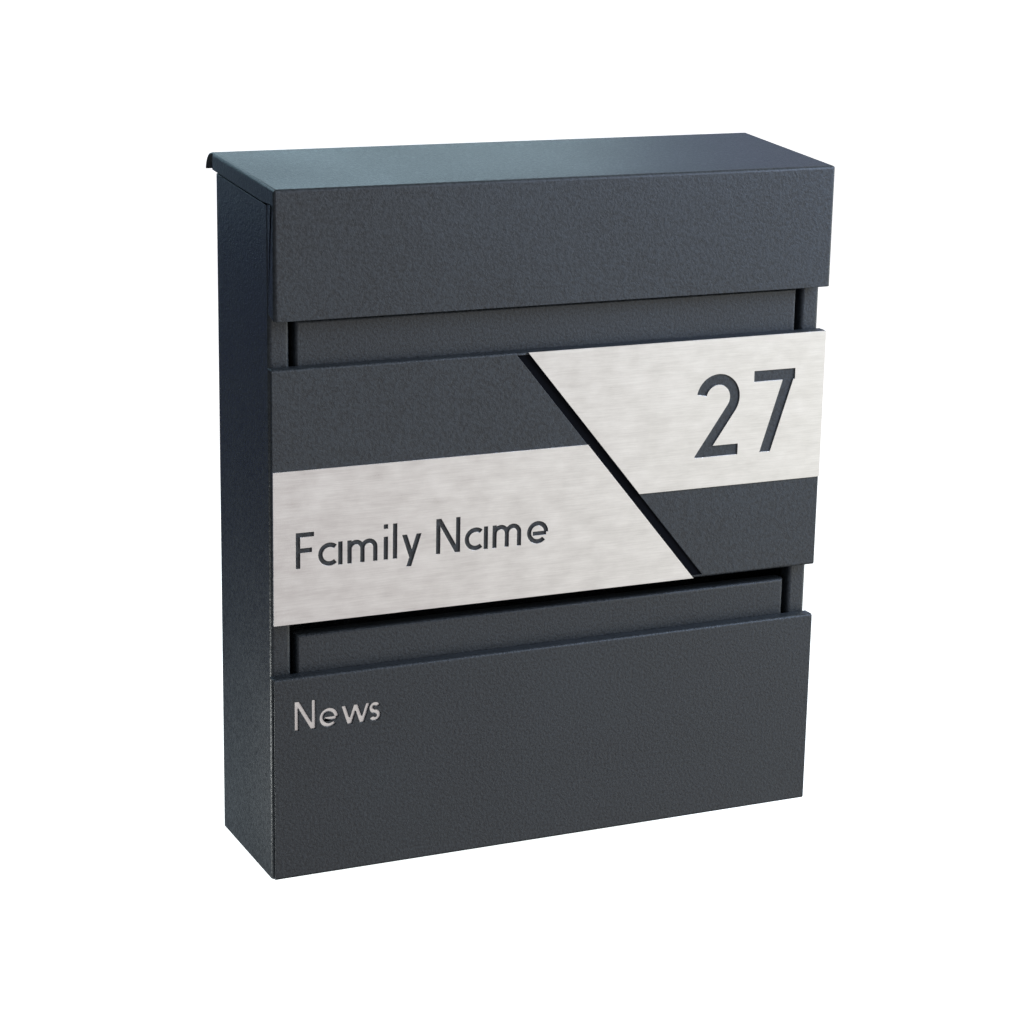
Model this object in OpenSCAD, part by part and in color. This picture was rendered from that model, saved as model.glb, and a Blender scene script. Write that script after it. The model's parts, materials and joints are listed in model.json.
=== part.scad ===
// Wall mounted mailbox with a letter compartment above a newspaper compartment.
// The modules work in the casing's own frame: X across from the middle, Y rearwards
// from the front flanges, Z up from the base. placed() then moves each piece so that
// the origin is the centre of the four wall holes on the wall's surface.

/* [Casing] */
// Outside width of the casing
body_w = 370; // [350:5:390]
// Outside depth of the casing, from front flange to back panel
body_d = 96; // [94:1:104]
// Thickness of every folded steel sheet
sheet = 1.2; // [1:0.1:1.3]
// Outside radius of the folds
fold_r = 2.4; // [2.2:0.1:2.6]
// Width of each front flange
flange_w = 12.8; // [12:0.2:14]
// Depth of the lip folded behind each front flange
lip_d = 10; // [8:0.5:10]
// Height of the shelf between the two compartments
shelf_z = 163.5; // [163:0.1:164]

/* [Wall fixing] */
// Distance from the back panel to the wall
standoff_l = 20; // [20:1:26]
// Height of the lower pair of wall holes above the base
wall_hole_z = 60; // [40:5:80]
// Distance between the wall holes across the box
wall_hole_dx = 290; // [240:10:300]
// Distance between the wall holes up the box
wall_hole_dz = 270; // [250:5:280]
// Radius of each wall hole
wall_hole_r = 3.25; // [2.5:0.25:4]

/* [Lid] */
// Height of the highest point of the lid above the base
lid_top = 434; // [430:1:440]
// Fall of the lid towards the front, in degrees
lid_slope = 4; // [3:0.5:5]
// Height of the lid's lower front edge above the base
lid_front_z = 349.8; // [349.5:0.1:351]
// Distance from the lid's front face to the front flanges
lid_reach = 12; // [11:0.5:13]
// Outside width of the lid
lid_w = 371; // [370:0.5:372]
// Height of the skirt along the lid's sides
skirt_h = 10.5; // [10:0.1:11]
// Outside radius of the rolled rear edge, about the hinge rod
nose_r = 13; // [12.5:0.1:13.5]

/* [Door and flap] */
// Distance that the front plates stand in front of the flanges
proud = 9; // [9:0.1:9.4]
// Width of the front plates
tray_w = 372; // [371:0.5:374]
// Gap between the door or flap and the front flanges
door_gap = 3.8; // [3.4:0.1:4]
// Height of the door's top edge above the base
door_top = 347.8; // [346:0.1:347.9]
// Height of the lower edge of the door's front plate
door_tray_z = 165.5; // [165.3:0.1:165.7]
// Height of the door's front plate
door_tray_h = 155.5; // [150:0.5:158]
// Height of the flap's top edge above the base
flap_top = 155.6; // [150:0.1:156]
// Height of the lower edge of the newspaper plate
news_tray_z = 3; // [2.8:0.1:3.2]
// Height of the newspaper plate
news_tray_h = 129; // [125:0.5:132]

/* [Facings] */
// Thickness of the stainless facings
facing = 1; // [0.8:0.1:1.2]
// Height above the base of the name plate's top edge
name_plate_top = 260; // [250:1:270]
// Height above the base of the number plate's lower edge
number_plate_low = 225; // [215:1:235]
// X of the middle of the slanting slot
slash_x = 36.8; // [20:0.1:50]
// Width of the slanting slot, measured level
slash_w = 8; // [5:0.5:10]
// Angle of the slanting slot from upright, in degrees
slash_angle = 39.4; // [35:0.1:42]
// House number
number = "27"; // ["27", "22", "77"]
// Height of the house number
number_h = 53; // [45:1:56]
// Capital height of the name
name_h = 22; // [18:0.5:22]
// Capital height of the newspaper label
label_h = 18.5; // [14:0.5:19]

/* [Hidden] */
$fn = 96;

anthracite = [0.22, 0.24, 0.26];
stainless = [0.80, 0.80, 0.78];
zinc = [0.62, 0.64, 0.66];
brass = [0.72, 0.60, 0.32];
rubber = [0.06, 0.06, 0.06];
plastic = [0.12, 0.12, 0.13];

// Casing
mount_z = wall_hole_z + wall_hole_dz / 2;
lip_x = body_w / 2 - flange_w;
weld_flange = 12;
fit_gap = 0.2;
lip_clear = 0.5;
drain_r = 2.5;
drain_pitch = 60;

// Lid hinge
hinge_y = body_d + 5;
hinge_z = lid_top - nose_r;
lid_rod_r = 2;
lid_arm_t = 2.4;
lid_eye_r = 4.6;
lid_eye_x = [-150, -50, 50, 150];
lug_step = 6;
seam = 1;
nose_end_angle = 4;

// Hinge of the door and of the flap, measured from the front flanges and each plate's foot
pivot_in = 3.4;
pivot_up = 2.6;
eye_r = 2.6;
eye_w = 6;
eye_x = [-150, -50, 50, 150];
eye_step = 8;
rod_r = 1.5;
play = 0.05;
lip_over_pivot = 3.9;
panel_over_pivot = 5.5;
door_pivot_z = door_tray_z + pivot_up;
flap_pivot_z = news_tray_z + pivot_up;
rod_half = 157;
push_nut_t = 1;
push_nut_rim = 1.5;
fold_in = fold_r - sheet;

// Plates, door and flap
tray_r = 1.8;
tray_foot_y = -6;
tray_gap = 0.5;
panel_w = 2 * (lip_x - door_gap);
panel_d = 10;
facing_inset = 0.3;
door_stud_xz = [[-140, 195], [140, 195], [-140, 292], [140, 292]];
flap_stud_xz = [[-150, 45], [150, 45], [-70, 112], [70, 112]];
stud_r = 2;
stud_end_y = 8;
nut_af = 7;
nut_t = 3.2;
bumper_r = 4;
bumper_x = 179;
bumper_air = 0.3;

// Lock in the header
header_low = 349.2;
header_top = 408;
lock_z = 365;
barrel_r = 9.3;
plug_r = 5.9;
cam_y = 11.2;
cam_t = 2;
cam_w = 12;
cam_reach = 27;
cam_square = 7;
screw_head_r = 4;
keeper_y = 14.2;
keeper_top = 346;
keeper_foot = 316;
keeper_w = 30;

// Letter guide
guide_z = 410;
guide_front_y = 52;
guard_turn = 115;
guard_l = 45;

// Magnet catch
magnet_x = 158;
magnet_z = 118;
magnet_r = 5;
magnet_l = 9;
magnet_y = 2.7;

// Places the casing's frame so that the wall hole pattern is centred on the origin
module placed() {
    translate([0, -(body_d + standoff_l), -mount_z])
        children();
}

// Extrudes a (y, z) outline along X, centred on x = 0
module across(w) {
    translate([-w / 2, 0, 0])
        rotate([90, 0, 90])
            linear_extrude(height = w)
                children();
}

// Extrudes an (x, z) outline along Y
module rearward(from, to) {
    translate([0, to, 0])
        rotate([90, 0, 0])
            linear_extrude(height = to - from)
                children();
}

// Ring sector from angle a0 to a1
module sector(r_in, r_out, a0, a1) {
    intersection() {
        difference() {
            circle(r = r_out);
            circle(r = r_in);
        }
        polygon(concat([[0, 0]],
            [for (i = [0:4]) 2 * r_out * [cos(a0 + (a1 - a0) * i / 4), sin(a0 + (a1 - a0) * i / 4)]]));
    }
}

// Section of a folded sheet. Each run is [straight length, turn after it]; a positive
// turn folds to the left. The sheet lies to the left of the line of travel.
module folded(runs, r = fold_r, i = 0) {
    turn = runs[i][1];
    fold_y = turn > 0 ? r : sheet - r;
    square([runs[i][0], sheet]);
    if (turn != 0) {
        translate([runs[i][0], fold_y]) {
            rotate(turn > 0 ? -90 : 90 + turn)
                sector(r - sheet, r, 0, abs(turn));
            rotate(turn)
                translate([0, -fold_y])
                    folded(runs, r, i + 1);
        }
    }
}

// Rectangle centred on X whose two corners at y = 0 are rounded
module round_front(w, d, r) {
    translate([-w / 2, r])
        square([w, d - r]);
    translate([-w / 2 + r, 0])
        square([w - 2 * r, d]);
    for (side = [-1, 1])
        translate([side * (w / 2 - r), r])
            circle(r = r);
}

// Block with its front edges rounded, standing on z = 0
module pan_block(w, h, d, r) {
    intersection() {
        linear_extrude(height = h)
            round_front(w, d, r);
        across(w)
            translate([0, h / 2])
                rotate(-90)
                    round_front(h, d, r);
    }
}

// Sheet folded back along all four edges
module pan(w, h, d) {
    difference() {
        pan_block(w, h, d, fold_r);
        translate([0, sheet, sheet])
            pan_block(w - 2 * sheet, h - 2 * sheet, d, fold_r - sheet);
    }
}

// ---------- casing ----------

// Everything above the cut along the tops of the side panels
module above_sides() {
    lid_frame()
        translate([-body_w, -2 * body_d, nose_r - skirt_h - seam])
            cube([2 * body_w, 4 * body_d, lid_top]);
}

// The lid's own frame: on the hinge rod, tilted with the lid
module lid_frame() {
    translate([0, hinge_y, hinge_z])
        rotate([lid_slope, 0, 0])
            children();
}

// Repeats its children at the four wall holes
module at_wall_holes() {
    for (x = [-1, 1], z = [0, 1])
        translate([x * wall_hole_dx / 2, 0, wall_hole_z + z * wall_hole_dz])
            children();
}

module body_shell() {
    color(anthracite)
        difference() {
            linear_extrude(height = lid_top)
                translate([-lip_x - sheet, lip_d])
                    rotate(-90)
                        folded([
                            [lip_d - fold_r, -90],
                            [flange_w - 2 * fold_r, -90],
                            [body_d - 2 * fold_r, -90],
                            [body_w - 2 * fold_r, -90],
                            [body_d - 2 * fold_r, -90],
                            [flange_w - 2 * fold_r, -90],
                            [lip_d - fold_r, 0]
                        ]);
            above_sides();
            at_wall_holes()
                rearward(body_d - 2 * sheet, body_d + sheet)
                    circle(r = wall_hole_r);
        }
}

// Fixed hinge eyes on the front lip of a floor; the pivot is at the origin
module fixed_eyes() {
    for (x = eye_x)
        translate([x, 0, 0])
            across(eye_w)
                difference() {
                    union() {
                        circle(r = eye_r);
                        polygon([[0, -eye_r], [pivot_in, -eye_r / 2], [pivot_in, eye_r], [0, eye_r]]);
                    }
                    circle(r = rod_r + play);
                }
}

// Floor with an upturned rear flange, a front lip that ends over the pivot, and wings
// that reach the side panels behind the casing's lips
module pan_floor(pivot_h) {
    mid_w = 2 * (lip_x - fit_gap);
    wing_y = lip_d + lip_clear;
    wing_x = body_w / 2 - sheet;
    depth = body_d - sheet;
    wing_l = depth - wing_y - fold_in;
    across(mid_w)
        translate([depth - sheet, weld_flange])
            rotate(-90)
                folded([
                    [weld_flange - fold_r, -90],
                    [depth - 2 * fold_r, -90],
                    [pivot_h + lip_over_pivot - fold_r, 0]
                ]);
    for (side = [0, 1])
        mirror([side, 0, 0]) {
            translate([mid_w / 2 - sheet, wing_y, 0])
                cube([wing_x - mid_w / 2 + sheet, wing_l, sheet]);
            translate([wing_x - sheet, wing_y, 0])
                cube([sheet, wing_l, weld_flange]);
        }
    translate([0, -pivot_in, pivot_h])
        fixed_eyes();
}

module floor_panel() {
    color(anthracite)
        difference() {
            pan_floor(flap_pivot_z);
            for (x = [-2:2], y = [body_d / 4, body_d * 3 / 4])
                translate([x * drain_pitch, y, -sheet])
                    cylinder(r = drain_r, h = 3 * sheet);
        }
}

module shelf_panel() {
    color(anthracite)
        translate([0, 0, shelf_z])
            pan_floor(door_pivot_z - shelf_z);
}

// Fixed panel behind the lid's face; its top return is the front edge of the letter slot
module header_panel() {
    w = 2 * lip_x;
    return_d = 18;
    down = 12;
    color(anthracite)
        difference() {
            union() {
                across(w)
                    translate([panel_d, header_low + sheet])
                        rotate(180)
                            folded([
                                [panel_d - fold_r, -90],
                                [header_top - header_low - 2 * fold_r, -90],
                                [return_d - 2 * fold_r, -90],
                                [down - fold_r, 0]
                            ]);
                for (side = [0, 1])
                    mirror([side, 0, 0])
                        translate([w / 2 - sheet, sheet / 2, header_low + fold_r])
                            cube([sheet, panel_d - sheet / 2, header_top - header_low - 2 * fold_r]);
            }
            translate([0, 0, lock_z])
                rearward(-sheet, 3 * sheet)
                    circle(r = barrel_r + play);
        }
}

// Rear cover of the letter compartment, folded down in front to guard the letters
module letter_guide() {
    color(anthracite)
        across(body_w - 2 * fold_r)
            translate([body_d - sheet, guide_z - weld_flange])
                rotate(90)
                    folded([
                        [weld_flange - fold_r, 90],
                        [body_d - sheet - guide_front_y - 2 * fold_r, guard_turn],
                        [guard_l, 0]
                    ]);
}

// Arms on the back panel that carry the lid's hinge rod
module hinge_brackets() {
    base_low = hinge_z - 16;
    base_high = hinge_z - 3.6;
    base_w = 14;
    arm_foot = hinge_z - 14;
    color(anthracite)
        for (x = lid_eye_x)
            translate([x, 0, 0]) {
                translate([x > 0 ? -lid_arm_t / 2 : lid_arm_t / 2 - base_w, body_d, base_low])
                    cube([base_w, sheet, base_high - base_low]);
                across(lid_arm_t)
                    difference() {
                        union() {
                            translate([hinge_y, hinge_z])
                                circle(r = lid_eye_r);
                            polygon([
                                [body_d, arm_foot],
                                [hinge_y - 1, hinge_z - lid_eye_r],
                                [hinge_y, hinge_z],
                                [hinge_y - 3, hinge_z + 3],
                                [body_d, base_high]
                            ]);
                        }
                        translate([hinge_y, hinge_z])
                            circle(r = lid_rod_r + play);
                    }
            }
}

module lid_rod() {
    color(zinc)
        translate([0, hinge_y, hinge_z])
            across(2 * rod_half)
                circle(r = lid_rod_r);
}

// Rod of the door or of the flap, through its fixed and moving eyes
module pivot_rod(pivot_z) {
    color(zinc)
        translate([0, -pivot_in, pivot_z])
            across(2 * rod_half)
                circle(r = rod_r);
}

module door_rod() {
    pivot_rod(door_pivot_z);
}

module flap_rod() {
    pivot_rod(flap_pivot_z);
}

// Push-on rings at both ends of the three rods
module rod_push_nuts() {
    rods = [
        [hinge_y, hinge_z, lid_rod_r],
        [-pivot_in, door_pivot_z, rod_r],
        [-pivot_in, flap_pivot_z, rod_r]
    ];
    color(zinc)
        for (rod = rods, side = [-1, 1])
            translate([side * (rod_half - 1.5 * push_nut_t), rod[0], rod[1]])
                across(push_nut_t)
                    difference() {
                        circle(r = rod[2] + push_nut_rim);
                        circle(r = rod[2]);
                    }
}

module standoffs() {
    color(plastic)
        at_wall_holes()
            rearward(body_d, body_d + standoff_l)
                difference() {
                    circle(r = 9);
                    circle(r = wall_hole_r);
                }
}

module seal_washers() {
    thick = 1.6;
    color(rubber)
        at_wall_holes()
            rearward(body_d - sheet - thick, body_d - sheet)
                difference() {
                    circle(r = 8);
                    circle(r = wall_hole_r);
                }
}

// ---------- lock ----------

module lock_barrel() {
    flange_t = 2.2;
    color(zinc)
        translate([0, 0, lock_z])
            difference() {
                union() {
                    rearward(-flange_t, 0)
                        circle(r = 11);
                    rearward(-flange_t, cam_y - fit_gap)
                        circle(r = barrel_r);
                }
                rearward(-2 * flange_t, cam_y)
                    circle(r = plug_r + play);
            }
}

module lock_nut() {
    across_flats = 24;
    color(zinc)
        translate([0, 0, lock_z])
            rearward(sheet, sheet + 4)
                difference() {
                    circle(r = across_flats / 2 / cos(30), $fn = 6);
                    circle(r = barrel_r);
                }
}

// Turning core with its keyway, and a square tail for the cam
module lock_plug() {
    key_w = 2;
    key_h = 8;
    color(brass)
        translate([0, 0, lock_z])
            difference() {
                union() {
                    rearward(-2.6, cam_y)
                        circle(r = plug_r);
                    rearward(-2.6, cam_y + cam_t)
                        square(cam_square, center = true);
                }
                rearward(-3, 5)
                    square([key_w, key_h], center = true);
                rearward(0, cam_y + 2 * cam_t)
                    circle(r = stud_r);
            }
}

module lock_cam() {
    color(zinc)
        translate([0, 0, lock_z])
            rearward(cam_y, cam_y + cam_t)
                difference() {
                    union() {
                        circle(r = cam_w / 2 + 1);
                        translate([0, -cam_w / 2])
                            square([cam_reach - cam_w / 2, cam_w]);
                        translate([cam_reach - cam_w / 2, 0])
                            circle(r = cam_w / 2);
                    }
                    square(cam_square, center = true);
                }
}

module cam_screw() {
    head_y = cam_y + cam_t;
    color(zinc)
        translate([0, 0, lock_z])
            difference() {
                union() {
                    rearward(head_y, head_y + 2.2)
                        circle(r = screw_head_r + 0.6);
                    rearward(2, head_y + 1)
                        circle(r = stud_r);
                }
                for (a = [0, 90])
                    rearward(head_y + 1.2, head_y + 3)
                        rotate(a)
                            square([4.4, 0.9], center = true);
            }
}

// ---------- lid ----------

// Height of the lid's upper face at a distance y behind the front flanges
function lid_face_z(y) = hinge_z + nose_r / cos(lid_slope) + (y - hinge_y) * tan(lid_slope);

// Side view of the lid with every face moved in by inset, down to z = low
module lid_profile(inset, low) {
    up = [-sin(lid_slope), cos(lid_slope)];
    corner_y = -lid_reach + fold_r;
    corner = [corner_y, lid_face_z(corner_y) - fold_r / cos(lid_slope)];
    hinge = [hinge_y, hinge_z];
    translate(hinge)
        circle(r = nose_r - inset);
    translate(corner)
        circle(r = fold_r - inset);
    polygon([
        [-lid_reach + inset, low],
        [-lid_reach + inset, corner[1]],
        corner + (fold_r - inset) * up,
        hinge + (nose_r - inset) * up,
        hinge,
        [hinge_y, low]
    ]);
}

// Solid of the lid's outside, with rounded front and side edges
module lid_block(inset, low) {
    w = lid_w - 2 * inset;
    r = fold_r - inset;
    intersection() {
        across(w)
            lid_profile(inset, low);
        translate([0, -lid_reach + inset, 0])
            linear_extrude(height = 2 * lid_top)
                round_front(w, 2 * body_d, r);
        lid_frame()
            translate([0, 0, nose_r - inset])
                rotate([0, 180, 0])
                    rotate([-90, 0, 0])
                        translate([0, 0, -2 * body_d])
                            linear_extrude(height = 4 * body_d)
                                mirror([0, 1])
                                    round_front(w, lid_top, r);
    }
}

// Side view of the parts that stay of the lid: skirts, face and rolled rear edge
module lid_outline() {
    translate([hinge_y, hinge_z])
        rotate(lid_slope) {
            polygon([
                [-2 * body_d, nose_r - skirt_h],
                [0, nose_r - skirt_h],
                [0, nose_r * sin(nose_end_angle)],
                [2 * nose_r, nose_r * sin(nose_end_angle)],
                [2 * nose_r, 2 * nose_r],
                [-2 * body_d, 2 * nose_r]
            ]);
        }
    polygon([
        [-2 * lid_reach, lid_front_z],
        [-lid_reach + sheet, lid_front_z],
        [-seam, lid_front_z + 3],
        [-seam, lid_top],
        [-2 * lid_reach, lid_top]
    ]);
}

module lid_shell() {
    hem_d = 8;
    slit = 0.5;
    color(anthracite)
        difference() {
            union() {
                intersection() {
                    difference() {
                        lid_block(0, lid_front_z);
                        lid_block(sheet, lid_front_z - lid_reach);
                    }
                    across(2 * lid_w)
                        lid_outline();
                }
                across(lid_w - 2 * fold_r)
                    translate([-lid_reach + sheet / 2, lid_front_z])
                        square([hem_d - sheet / 2, sheet]);
            }
            // open ends of the rolled rear edge
            lid_frame()
                across(2 * lid_w)
                    intersection() {
                        circle(r = nose_r - sheet + play);
                        translate([0, -nose_r])
                            square(2 * nose_r);
                    }
            // slits between the side skirts and the fold of the face
            for (side = [-1, 1])
                translate([side * (lid_w / 2 - sheet / 2) - sheet, -lid_reach / 2, lid_face_z(0) - skirt_h])
                    cube([2 * sheet, lid_reach, slit]);
        }
}

// Lugs under the lid that turn on the hinge rod
module lid_lugs() {
    under = nose_r - sheet;
    color(anthracite)
        for (x = lid_eye_x)
            lid_frame()
                translate([x - sign(x) * lug_step, 0, 0]) {
                    across(lid_arm_t)
                        difference() {
                            union() {
                                circle(r = lid_eye_r);
                                polygon([[-14, under], [0, under], [lid_eye_r - 0.3, 1.5], [0, 0], [-4, 2.2]]);
                            }
                            circle(r = lid_rod_r + play);
                        }
                    translate([-5, -16, under - sheet])
                        cube([10, 14, sheet]);
                }
}

// Rubber buffers inside the lid's face that land on the header
module lid_bumpers() {
    color(rubber)
        for (x = [-120, 120])
            translate([x, 0, 390])
                rearward(-lid_reach + sheet, -bumper_air)
                    circle(r = 6);
}

// ---------- door and flap ----------

// Moving hinge eyes below a panel; the pivot is at the origin
module moving_eyes() {
    for (x = eye_x)
        translate([x - sign(x) * eye_step, 0, 0])
            across(eye_w)
                difference() {
                    union() {
                        circle(r = eye_r);
                        polygon([
                            [-eye_r, 0],
                            [-eye_r, 4],
                            [pivot_in - 1, 14],
                            [pivot_in + sheet, 14],
                            [pivot_in + sheet, panel_over_pivot],
                            [pivot_in, panel_over_pivot],
                            [eye_r * cos(30), eye_r * sin(30)]
                        ]);
                    }
                    circle(r = rod_r + play);
                }
}

// Inner panel of the door or flap, from just over its pivot to its top edge
module leaf(pivot_z, top_z, studs) {
    foot = pivot_z + panel_over_pivot;
    difference() {
        union() {
            translate([0, 0, foot])
                pan(panel_w, top_z - foot, panel_d);
            translate([0, -pivot_in, pivot_z])
                moving_eyes();
        }
        for (p = studs)
            translate([p[0], 0, p[1]])
                rearward(-sheet, 2 * sheet)
                    circle(r = stud_r + play);
    }
}

// Front plate folded back along its top, with a short fold along its foot
module tray(z, h, depth) {
    across(tray_w)
        translate([tray_foot_y, z + sheet])
            rotate(180)
                folded([
                    [depth + tray_foot_y - tray_r, -90],
                    [h - 2 * tray_r, -90],
                    [depth - tray_gap - tray_r, 0]
                ], tray_r);
}

// Left edge of the slanting slot at height z
function slash_left(z) =
    slash_x - slash_w / 2 + (door_tray_z + door_tray_h / 2 - z) * tan(slash_angle);

module spacers(studs, from) {
    color(plastic)
        for (p = studs)
            translate([p[0], 0, p[1]])
                rearward(from, 0)
                    difference() {
                        circle(r = 6);
                        circle(r = stud_r);
                    }
}

module studs_at(studs, from) {
    color(zinc)
        for (p = studs)
            translate([p[0], 0, p[1]])
                rearward(from, stud_end_y)
                    circle(r = stud_r);
}

module nuts_at(studs) {
    color(zinc)
        for (p = studs)
            translate([p[0], 0, p[1]])
                rearward(sheet, sheet + nut_t)
                    difference() {
                        circle(r = nut_af / 2 / cos(30), $fn = 6);
                        circle(r = stud_r);
                    }
}

module bumpers_at(heights, from) {
    color(rubber)
        for (x = [-1, 1], z = heights)
            translate([x * bumper_x, 0, z])
                rearward(from, -bumper_air)
                    circle(r = bumper_r);
}

module door_panel() {
    color(anthracite)
        leaf(door_pivot_z, door_top, door_stud_xz);
}

module front_tray() {
    low = door_tray_z + tray_r;
    high = door_tray_z + door_tray_h - tray_r;
    color(anthracite)
        difference() {
            tray(door_tray_z, door_tray_h, proud - facing);
            rearward(-2 * proud, -sheet)
                polygon([
                    [slash_left(low), low],
                    [slash_left(low) + slash_w, low],
                    [slash_left(high) + slash_w, high],
                    [slash_left(high), high]
                ]);
        }
}

// Black strip bonded behind the slanting slot
module slot_backing() {
    low = door_tray_z + tray_r;
    high = door_tray_z + door_tray_h - tray_r;
    back = -proud + facing + sheet;
    margin = 7;
    color(plastic)
        rearward(back, back + 1)
            polygon([
                [slash_left(low) - margin, low],
                [slash_left(low) + slash_w + margin, low],
                [slash_left(high) + slash_w + margin, high],
                [slash_left(high) - margin, high]
            ]);
}

module name_plate() {
    low = door_tray_z + facing_inset;
    color(stainless)
        difference() {
            rearward(-proud, -proud + facing)
                polygon([
                    [-tray_w / 2, low],
                    [slash_left(low), low],
                    [slash_left(name_plate_top), name_plate_top],
                    [-tray_w / 2, name_plate_top]
                ]);
            rearward(-2 * proud, 0)
                translate([-172, 200])
                    word("Family Name", name_h);
        }
}

module number_plate() {
    high = door_tray_z + door_tray_h - facing_inset;
    color(stainless)
        difference() {
            rearward(-proud, -proud + facing)
                polygon([
                    [slash_left(number_plate_low) + slash_w, number_plate_low],
                    [tray_w / 2, number_plate_low],
                    [tray_w / 2, high],
                    [slash_left(high) + slash_w, high]
                ]);
            rearward(-2 * proud, 0)
                for (i = [0:len(number) - 1])
                    translate([94 + i * 0.77 * number_h, 245])
                        digit(number[i], number_h);
        }
}

module tray_spacers() {
    spacers(door_stud_xz, -proud + facing + sheet);
}

module tray_studs() {
    studs_at(door_stud_xz, -proud + facing + sheet);
}

module tray_nuts() {
    nuts_at(door_stud_xz);
}

// Hook behind the door's top edge that the lock's cam drops in front of
module keeper_bracket() {
    foot_l = 14;
    reach = keeper_y + sheet - 2 * sheet - (2 * fold_r - sheet);
    rise = keeper_top - keeper_foot - foot_l - (2 * fold_r - sheet);
    color(zinc)
        across(keeper_w)
            translate([2 * sheet, keeper_foot])
                rotate(90)
                    folded([[foot_l, -90], [reach, 90], [rise, 0]]);
}

module door_bumpers() {
    bumpers_at([185, 305], -proud + facing + sheet);
}

module flap_panel() {
    color(anthracite)
        leaf(flap_pivot_z, flap_top, flap_stud_xz);
}

module news_tray() {
    color(anthracite)
        difference() {
            tray(news_tray_z, news_tray_h, proud);
            rearward(-2 * proud, -proud + 2 * sheet)
                translate([-173, 98])
                    word("News", label_h);
        }
}

// Stainless strip behind the cut-out label
module label_backing() {
    color(stainless)
        rearward(-proud + sheet, -proud + sheet + facing)
            translate([-177, 93])
                square([67, 28]);
}

module flap_spacers() {
    spacers(flap_stud_xz, -proud + sheet);
}

module flap_studs() {
    studs_at(flap_stud_xz, -proud + sheet);
}

module flap_nuts() {
    nuts_at(flap_stud_xz);
}

// Steel discs on the flap that the magnets hold
module magnet_keepers() {
    color(zinc)
        for (x = [-1, 1])
            translate([x * magnet_x, 0, magnet_z])
                rearward(sheet, 2 * sheet)
                    circle(r = 7);
}

module flap_bumpers() {
    bumpers_at([20, 82], -proud + sheet);
}

module catch_magnets() {
    color(zinc)
        for (x = [-1, 1])
            translate([x * magnet_x, 0, magnet_z])
                rearward(magnet_y, magnet_y + magnet_l)
                    circle(r = magnet_r);
}

// Angle brackets on the casing's lips that carry the magnets
module magnet_brackets() {
    back_y = magnet_y + magnet_l + sheet;
    start_y = 3;
    color(anthracite)
        for (side = [0, 1])
            mirror([side, 0, 0])
                translate([lip_x + 2 * sheet, start_y, magnet_z - 7])
                    linear_extrude(height = 14)
                        rotate(90)
                            folded([[back_y - start_y - fold_r, 90], [22, 0]]);
}

// ---------- lettering, cut as a stencil ----------

// Points along an arc from angle a0 to a1, from step first on
function arc(centre, r, a0, a1, first = 0, steps = 28) =
    [for (i = [first:steps]) centre + r * [cos(a0 + (a1 - a0) * i / steps), sin(a0 + (a1 - a0) * i / steps)]];

// Slanting stroke with level ends; w is its level width
module slant(x0, z0, x1, z1, w) {
    polygon([[x0, z0], [x0 + w, z0], [x1 + w, z1], [x1, z1]]);
}

// Width from one letter's start to the next, as a share of the capital height
function advance(c) =
    c == "N" ? 0.86 :
    c == "F" ? 0.64 :
    c == "a" ? 0.84 :
    c == "m" ? 1.06 :
    c == "i" || c == "l" ? 0.27 :
    c == "y" ? 0.66 :
    c == "e" ? 0.77 :
    c == "w" ? 0.98 :
    c == "s" ? 0.50 : 0.35;

function pen(text_line, i) = i == 0 ? 0 : pen(text_line, i - 1) + advance(text_line[i - 1]);

module word(text_line, cap) {
    for (i = [0:len(text_line) - 1])
        translate([pen(text_line, i) * cap, 0])
            letter(text_line[i], cap);
}

module letter(c, cap) {
    t = 0.125 * cap;
    low = 0.65 * cap;
    if (c == "N") letter_n_capital(cap, t);
    if (c == "F") letter_f_capital(cap, t);
    if (c == "a") letter_a(low, t);
    if (c == "m") letter_m(low, t);
    if (c == "i") letter_i(low, cap, t);
    if (c == "l") square([t, cap]);
    if (c == "y") letter_y(low, t);
    if (c == "e") letter_e(low, t);
    if (c == "w") letter_w(low, t);
    if (c == "s") letter_s(low, t);
}

module letter_n_capital(cap, t) {
    w = 0.72 * cap;
    square([t, cap]);
    translate([w - t, 0])
        square([t, cap]);
    slant(0, cap, w - 1.2 * t, 0, 1.2 * t);
}

module letter_f_capital(cap, t) {
    square([t, cap]);
    translate([0, cap - t])
        square([0.52 * cap, t]);
    translate([0, 0.5 * cap - t / 2])
        square([0.46 * cap, t]);
}

module letter_a(low, t) {
    r = low / 2;
    translate([r, r])
        sector(r - t, r, 50, 310);
    translate([low - 0.6 * t, 0])
        square([t, low]);
}

module letter_m(low, t) {
    arch_r = 0.385 * low;
    square([t, low]);
    for (i = [0, 1])
        translate([i * (2 * arch_r - t), 0]) {
            translate([arch_r, low - arch_r])
                sector(arch_r - t, arch_r, 0, 180);
            translate([2 * arch_r - t, 0])
                square([t, low - arch_r]);
        }
}

module letter_i(low, cap, t) {
    square([t, low]);
    translate([0, cap - t])
        square([t, t]);
}

module letter_y(low, t) {
    w = 0.88 * low;
    tail = 0.4 * low;
    slope = (w - 1.15 * t) / 2 / low;
    slant(0, low, w / 2 - 0.57 * t, 0, 1.15 * t);
    slant(w - 1.15 * t, low, w / 2 - 0.57 * t - tail * slope, -tail, 1.15 * t);
}

module letter_e(low, t) {
    r = low / 2;
    bridge = 0.4 * t;
    translate([r, r]) {
        sector(r - t, r, 0, 315);
        translate([-r + t + bridge, -0.7 * t])
            square([2 * r - 1.5 * t - bridge, 0.9 * t]);
    }
}

module letter_w(low, t) {
    step = 0.33 * low;
    for (i = [0, 1])
        translate([2 * i * step, 0]) {
            slant(0, low, step, 0, 1.1 * t);
            slant(2 * step, low, step, 0, 1.1 * t);
        }
}

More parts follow.
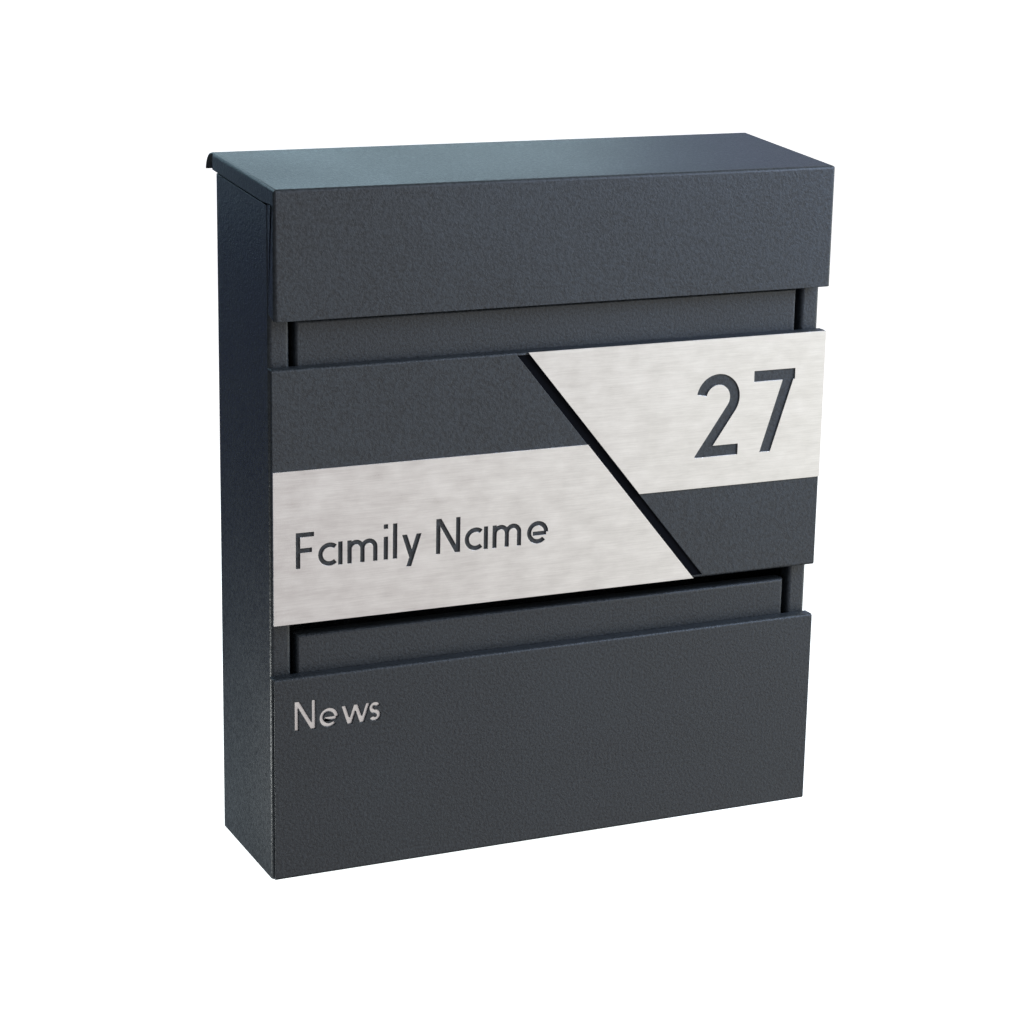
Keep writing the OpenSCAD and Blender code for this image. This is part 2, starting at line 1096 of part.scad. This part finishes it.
module letter_s(low, t) {
    r = (low + t) / 4;
    top = [r, low - r];
    foot = [r, r];
    polygon(concat(
        arc(top, r, 25, 270),
        arc(foot, r - t, 90, -155, 1),
        arc(foot, r, -155, 90),
        arc(top, r - t, 270, 25, 1)
    ));
}

module digit(c, h) {
    t = 0.13 * h;
    if (c == "2") digit_2(h, t);
    if (c == "7") digit_7(h, t);
}

// The slanting stroke leaves the bowl along its tangent
module digit_2(h, t) {
    w = 0.58 * h;
    r = w / 2;
    bowl = [r, h - r];
    start = 168;
    leave = -35;
    down = [sin(leave), -cos(leave)];
    out_end = bowl + r * [cos(leave), sin(leave)];
    in_end = bowl + (r - t) * [cos(leave), sin(leave)];
    polygon(concat(
        arc(bowl, r, start, leave),
        [out_end + (out_end[1] - t) / cos(leave) * down],
        [[w, t], [w, 0], [0, 0]],
        [in_end + in_end[0] / sin(-leave) * down],
        arc(bowl, r - t, leave, start)
    ));
}

module digit_7(h, t) {
    w = 0.56 * h;
    translate([0, h - t])
        square([w, t]);
    slant(0.2 * w, 0, w - 1.12 * t, h - t / 2, 1.12 * t);
}

placed() body_shell();
placed() floor_panel();
placed() shelf_panel();
placed() header_panel();
placed() letter_guide();
placed() hinge_brackets();
placed() lid_rod();
placed() door_rod();
placed() flap_rod();
placed() rod_push_nuts();
placed() standoffs();
placed() seal_washers();
placed() lock_barrel();
placed() lock_nut();
placed() magnet_brackets();
placed() catch_magnets();
placed() lid_shell();
placed() lid_lugs();
placed() lid_bumpers();
placed() door_panel();
placed() front_tray();
placed() slot_backing();
placed() name_plate();
placed() number_plate();
placed() tray_spacers();
placed() tray_studs();
placed() tray_nuts();
placed() keeper_bracket();
placed() door_bumpers();
placed() flap_panel();
placed() news_tray();
placed() label_backing();
placed() flap_spacers();
placed() flap_studs();
placed() flap_nuts();
placed() magnet_keepers();
placed() flap_bumpers();
placed() lock_plug();
placed() lock_cam();
placed() cam_screw();
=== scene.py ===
import json
import math

import bpy
from mathutils import Matrix, Vector


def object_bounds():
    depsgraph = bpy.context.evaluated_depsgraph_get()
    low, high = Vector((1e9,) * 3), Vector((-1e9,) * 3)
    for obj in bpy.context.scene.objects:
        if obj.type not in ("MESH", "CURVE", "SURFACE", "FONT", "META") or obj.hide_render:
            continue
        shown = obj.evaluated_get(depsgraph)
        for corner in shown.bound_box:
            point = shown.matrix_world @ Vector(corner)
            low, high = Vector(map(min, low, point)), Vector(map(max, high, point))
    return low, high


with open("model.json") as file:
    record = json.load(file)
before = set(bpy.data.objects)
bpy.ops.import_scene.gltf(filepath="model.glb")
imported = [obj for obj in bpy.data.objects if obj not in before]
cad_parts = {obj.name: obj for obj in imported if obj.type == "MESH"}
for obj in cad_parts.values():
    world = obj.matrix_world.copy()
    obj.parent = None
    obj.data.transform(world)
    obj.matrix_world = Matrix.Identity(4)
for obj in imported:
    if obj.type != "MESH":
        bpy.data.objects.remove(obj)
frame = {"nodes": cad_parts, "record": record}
cad_lo, cad_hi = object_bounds()
NODES = frame["nodes"]

MM = 0.001
slot_of = {p["node"]: p["material_slot"] for p in frame["record"]["subparts"]}

# Floor: a large square a little below the object
FLOOR_Z = cad_lo.z - 60 * MM
FLOOR_HALF = 40.0
FLOOR_COLOR = (0.86, 0.86, 0.86)
FLOOR_ROUGH = 0.8
FLOOR_GLOW = 0.98

# Camera, in the object's frame, in metres and degrees; lens and sensor in millimetres
EYE = Vector((-0.65765, -1.49479, 0.43341))
AZIMUTH, ELEVATION, ROLL = (math.radians(a) for a in (-24.508, 15.064, 1.02))
SENSOR = 36.0
LENS = 89.84
NEAR, FAR = 0.05, 200

# Square softboxes: name, place, aim, side in metres, watts, colour
SOFTBOXES = [
    ("BehindAbove", (0.1, 0.9, 0.5), (0.0, 0.0, 0.24), 0.9, 4.3, (0.72, 1.0, 0.98)),
    ("BehindLeft", (-0.35, 0.75, 0.42), (-0.1, 0.0, 0.24), 0.4, 0.8, (0.55, 0.88, 1.0)),
    ("FrontRight", (0.55, -0.55, 0.5), (0.1, -0.1, 0.15), 0.4, 4.3, (0.52, 0.68, 1.0)),
    ("FrontLow", (0.9, -1.2, -0.15), (0.1, -0.1, 0.1), 0.8, 0.55, (0.80, 1.0, 0.98)),
    ("LeftLow", (-0.42, -0.02, -0.19), (-0.186, -0.06, -0.17), 0.10, 0.62, (0.97, 1.0, 0.98)),
]

# Soft surround: a faint light from everywhere, and glows of
# (direction, full within, gone beyond, colour) with the angles in degrees
AMBIENT = (0.034, 0.038, 0.045)
GLOWS = [
    ((1.0, 0.0, 0.09), 20, 70, (1.46, 1.49, 1.34)),
    ((0.64, -0.77, 0.0), 15, 65, (0.58, 0.52, 0.51)),
    ((0.17, 0.96, 0.21), 10, 42, (0.06, 0.10, 0.42)),
    ((-0.45, -0.88, 0.10), 18, 62, (0.27, 0.28, 0.31)),
]

# Rounding of cut edges in millimetres, by material slot
EDGE = {"powder_coat": 0.34, "stainless_facing": 0.12, "rubber": 0.35, "spacer_plastic": 0.35}
EDGE_PLAIN = 0.15
CLAMPED = {"floor_panel", "shelf_panel"}    # their many holes leave no room for the full rounding
WELD_GAP = 0.002 * MM
FLAT_ANGLE = math.radians(0.4)
EDGE_ANGLE = math.radians(38)
EDGE_SEGMENTS = 2
FACE_WEIGHT = 60


# ---------- materials ----------

class Shader:
    """A material and short calls that add nodes to it."""

    def __init__(self, name):
        self.mat = bpy.data.materials.new(name)
        self.mat.use_nodes = True
        self.tree = self.mat.node_tree
        self.bsdf = self.tree.nodes["Principled BSDF"]

    def node(self, kind, inputs=(), **settings):
        n = self.tree.nodes.new("ShaderNode" + kind)
        for key, value in settings.items():
            setattr(n, key, value)
        for key, value in dict(inputs).items():
            if isinstance(value, bpy.types.NodeSocket):
                self.tree.links.new(value, n.inputs[key])
            else:
                n.inputs[key].default_value = value
        return n

    def set(self, **values):
        for key, value in values.items():
            socket = self.bsdf.inputs[key.replace("_", " ")]
            if isinstance(value, bpy.types.NodeSocket):
                self.tree.links.new(value, socket)
            else:
                socket.default_value = value

    def place(self, scale=(1, 1, 1)):
        """Object coordinates, stretched."""
        coords = self.node("TexCoord").outputs["Object"]
        return self.node("Mapping", {"Vector": coords, "Scale": scale}).outputs["Vector"]

    def noise(self, vector, scale, detail, rough):
        n = self.node("TexNoise", {"Vector": vector, "Scale": scale, "Detail": detail,
                                   "Roughness": rough})
        return n.outputs["Fac"]

    def spread(self, value, low, high, start=0.3, end=0.7):
        """Maps value from start..end onto low..high."""
        n = self.node("MapRange", {"Value": value, "From Min": start, "From Max": end,
                                   "To Min": low, "To Max": high})
        return n.outputs["Result"]

    def add(self, a, b):
        return self.node("Math", {0: a, 1: b}, operation="ADD").outputs[0]

    def tint(self, value, dark, light, start=0.3, end=0.7):
        """A colour between dark and light."""
        fac = self.spread(value, 0.0, 1.0, start, end)
        n = self.node("Mix", {"Factor": fac}, data_type="RGBA")
        n.inputs["A"].default_value = (*dark, 1)
        n.inputs["B"].default_value = (*light, 1)
        return n.outputs["Result"]

    def bump(self, height, depth, strength, under=None):
        """A normal raised by height, on top of the normal under it."""
        inputs = {"Height": height, "Distance": depth, "Strength": strength}
        if under is not None:
            inputs["Normal"] = under
        return self.node("Bump", inputs).outputs["Normal"]


def powder_coat(name, base):
    """Fine-textured powder coat: grains and flecks of 1 to 2 mm over orange peel and slow drift."""
    s = Shader(name)
    at = s.place()
    grain = s.noise(at, 560.0, 3.0, 0.62)
    fleck = s.noise(at, 1150.0, 2.0, 0.5)
    peel = s.noise(at, 190.0, 2.0, 0.5)
    drift = s.noise(at, 9.0, 3.0, 0.55)
    skin = s.add(s.spread(grain, 0.0, 0.62, 0.32, 0.68), s.spread(fleck, 0.0, 0.2))
    mottle = s.add(skin, s.spread(drift, 0.0, 0.18))
    dark = tuple(c * 0.46 for c in base)
    light = tuple(c * 1.48 for c in base)
    s.set(Base_Color=s.tint(mottle, dark, light, 0.08, 0.92),
          Roughness=s.add(s.spread(grain, 0.38, 0.54), s.spread(drift, -0.03, 0.03)),
          Normal=s.bump(skin, 0.20 * MM, 0.9, s.bump(peel, 0.10 * MM, 0.6)),
          IOR=1.5)
    return s.mat


def brushed_stainless(name):
    """Stainless sheet brushed along X: fine scratches over a soft cloudy sheen."""
    s = Shader(name)
    hair = s.noise(s.place((70.0, 70.0, 1500.0)), 1.0, 4.0, 0.65)
    streak = s.noise(s.place((14.0, 14.0, 330.0)), 1.0, 3.0, 0.6)
    cloud = s.noise(s.place((55.0, 55.0, 85.0)), 1.0, 4.0, 0.6)
    lines = s.add(s.spread(hair, 0.0, 0.65), s.spread(streak, 0.0, 0.35))
    sheen = s.add(s.spread(lines, 0.0, 0.55, 0.0, 1.0), s.spread(cloud, 0.0, 0.45))
    s.set(Base_Color=s.tint(sheen, (0.66, 0.651, 0.638), (0.875, 0.866, 0.852), 0.1, 0.9),
          Metallic=1.0,
          Roughness=s.add(s.spread(lines, 0.30, 0.42, 0.0, 1.0), s.spread(cloud, -0.05, 0.05)),
          Anisotropic=0.45,
          Normal=s.bump(lines, 0.012 * MM, 0.6))
    return s.mat


def plated(name, dark, light, rough):
    """Plated or turned metal with fine tooling marks and slight blooms."""
    s = Shader(name)
    bloom = s.noise(s.place(), 120.0, 3.0, 0.6)
    marks = s.noise(s.place((300.0, 4000.0, 4000.0)), 1.0, 2.0, 0.5)
    worn = s.spread(bloom, rough - 0.06, rough + 0.08)
    s.set(Base_Color=s.tint(bloom, dark, light),
          Metallic=1.0,
          Roughness=s.add(worn, s.spread(marks, -0.03, 0.03)),
          Normal=s.bump(marks, 0.01 * MM, 0.5))
    return s.mat


def moulded(name, dark, light, rough, grain_scale, depth):
    """Moulded plastic or rubber with a fine spark-eroded skin."""
    s = Shader(name)
    at = s.place()
    grain = s.noise(at, grain_scale, 3.0, 0.6)
    dust = s.noise(at, 60.0, 2.0, 0.5)
    s.set(Base_Color=s.tint(dust, dark, light),
          Roughness=s.spread(grain, rough - 0.08, rough + 0.08),
          Normal=s.bump(grain, depth, 0.6))
    return s.mat


def slot_shade_black(name):
    """Near-black painted shade for the deep hollow behind the letter slot, with faint dust."""
    s = Shader(name)
    dust = s.noise(s.place(), 70.0, 3.0, 0.6)
    s.set(Base_Color=s.tint(dust, (0.0025, 0.003, 0.005), (0.005, 0.006, 0.009)),
          Roughness=s.spread(dust, 0.86, 0.96),
          Specular_IOR_Level=0.12)
    return s.mat


# By material slot
MATERIALS = {
    "powder_coat": powder_coat("PowderCoat", (0.035, 0.042, 0.048)),
    "stainless_facing": brushed_stainless("BrushedStainless"),
    "plated_steel": plated("ZincPlate", (0.52, 0.53, 0.55), (0.66, 0.67, 0.68), 0.30),
    "lock_metal": plated("SatinNickel", (0.60, 0.60, 0.59), (0.70, 0.69, 0.67), 0.24),
    "magnet": plated("NickelPlate", (0.62, 0.61, 0.58), (0.70, 0.69, 0.66), 0.16),
    "lock_core": plated("TurnedBrass", (0.60, 0.44, 0.18), (0.72, 0.55, 0.25), 0.26),
    "spacer_plastic": moulded("BlackNylon", (0.018, 0.018, 0.02), (0.028, 0.028, 0.03),
                              0.5, 1600.0, 0.04 * MM),
    "rubber": moulded("Rubber", (0.012, 0.012, 0.012), (0.024, 0.024, 0.024),
                      0.74, 900.0, 0.06 * MM),
}

# By node, in place of its slot's material
# slot_backing is painted near-black: painted shade standing in for the dark hollow seen through the
# diagonal letter slot
OWN_MATERIAL = {"slot_backing": slot_shade_black("PaintedSlotShade")}

# ---------- finish of the CAD pieces ----------


def soften_edges(obj, width, clamp):
    """Joins the faces of the mesh, rounds its cut edges and shades it smooth."""
    custom = obj.data.attributes.get("custom_normal")
    if custom:
        obj.data.attributes.remove(custom)
    obj.data.shade_smooth()
    weld = obj.modifiers.new("Weld", "WELD")
    weld.merge_threshold = WELD_GAP
    flat = obj.modifiers.new("FlatFaces", "DECIMATE")
    flat.decimate_type = "DISSOLVE"
    flat.angle_limit = FLAT_ANGLE
    bevel = obj.modifiers.new("CutEdges", "BEVEL")
    bevel.width = width
    bevel.segments = EDGE_SEGMENTS
    bevel.limit_method = "ANGLE"
    bevel.angle_limit = EDGE_ANGLE
    bevel.use_clamp_overlap = clamp
    normals = obj.modifiers.new("Normals", "WEIGHTED_NORMAL")
    normals.keep_sharp = False
    normals.weight = FACE_WEIGHT


for name, obj in NODES.items():
    slot = slot_of[name]
    obj.data.materials.clear()
    obj.data.materials.append(OWN_MATERIAL.get(name, MATERIALS[slot]))
    soften_edges(obj, EDGE.get(slot, EDGE_PLAIN) * MM, name in CLAMPED)

# ---------- floor ----------

scene = bpy.context.scene
link_to_scene = scene.collection.objects.link

floor_paint = Shader("PaleFloor")
floor_paint.set(Base_Color=(*FLOOR_COLOR, 1), Roughness=FLOOR_ROUGH,
                Emission_Color=(*FLOOR_COLOR, 1), Emission_Strength=FLOOR_GLOW)
floor_mesh = bpy.data.meshes.new("Floor")
corners = [(-1, -1), (1, -1), (1, 1), (-1, 1)]
floor_mesh.from_pydata([(x * FLOOR_HALF, y * FLOOR_HALF, FLOOR_Z) for x, y in corners],
                       [], [(0, 1, 2, 3)])
floor_mesh.materials.append(floor_paint.mat)
floor = bpy.data.objects.new("Floor", floor_mesh)
link_to_scene(floor)
# The surround lights the object, not the floor's own glow
floor.visible_diffuse = False
floor.visible_glossy = False

# ---------- lights ----------


def softbox(name, place, aim, side, watts, color):
    light = bpy.data.lights.new(name, "AREA")
    light.shape = "SQUARE"
    light.size = side
    light.energy = watts
    light.color = color
    obj = bpy.data.objects.new(name, light)
    obj.location = place
    obj.rotation_euler = (Vector(aim) - Vector(place)).to_track_quat("-Z", "Y").to_euler()
    obj.visible_camera = False
    link_to_scene(obj)


for box in SOFTBOXES:
    softbox(*box)

world = bpy.data.worlds.new("Studio")
world.use_nodes = True
nodes, links = world.node_tree.nodes, world.node_tree.links
surround = nodes["Background"]
coords = nodes.new("ShaderNodeTexCoord")
total = None
for direction, full, gone, color in GLOWS:
    facing = nodes.new("ShaderNodeVectorMath")
    facing.operation = "DOT_PRODUCT"
    facing.inputs[1].default_value = Vector(direction).normalized()
    links.new(coords.outputs["Generated"], facing.inputs[0])
    fade = nodes.new("ShaderNodeMapRange")
    fade.interpolation_type = "SMOOTHSTEP"
    fade.inputs["From Min"].default_value = math.cos(math.radians(gone))
    fade.inputs["From Max"].default_value = math.cos(math.radians(full))
    links.new(facing.outputs["Value"], fade.inputs["Value"])
    share = nodes.new("ShaderNodeVectorMath")
    share.operation = "MULTIPLY_ADD"
    share.inputs[1].default_value = color
    share.inputs[2].default_value = AMBIENT
    links.new(fade.outputs["Result"], share.inputs[0])
    if total:
        links.new(total, share.inputs[2])
    total = share.outputs["Vector"]
links.new(total, surround.inputs["Color"])

# Seen directly, the surround is as pale as the floor
pale = nodes.new("ShaderNodeBackground")
pale.inputs["Color"].default_value = (1, 1, 1, 1)
path = nodes.new("ShaderNodeLightPath")
either = nodes.new("ShaderNodeMixShader")
links.new(path.outputs["Is Camera Ray"], either.inputs[0])
links.new(surround.outputs["Background"], either.inputs[1])
links.new(pale.outputs["Background"], either.inputs[2])
links.new(either.outputs["Shader"], nodes["World Output"].inputs["Surface"])
scene.world = world

# ---------- camera ----------

forward = Vector((-math.sin(AZIMUTH) * math.cos(ELEVATION),
                  math.cos(AZIMUTH) * math.cos(ELEVATION),
                  -math.sin(ELEVATION)))
level = Vector((math.cos(AZIMUTH), math.sin(AZIMUTH), 0))
upright = level.cross(forward)
right = level * math.cos(ROLL) + upright * math.sin(ROLL)
up = upright * math.cos(ROLL) - level * math.sin(ROLL)

lens = bpy.data.cameras.new("Camera")
lens.sensor_width = SENSOR
lens.lens = LENS
lens.clip_start, lens.clip_end = NEAR, FAR
camera = bpy.data.objects.new("Camera", lens)
camera.matrix_world = Matrix((
    (right.x, up.x, -forward.x, EYE.x),
    (right.y, up.y, -forward.y, EYE.y),
    (right.z, up.z, -forward.z, EYE.z),
    (0, 0, 0, 1),
))
link_to_scene(camera)
scene.camera = camera
scene.view_settings.view_transform = "Standard"

bpy.context.view_layer.update()
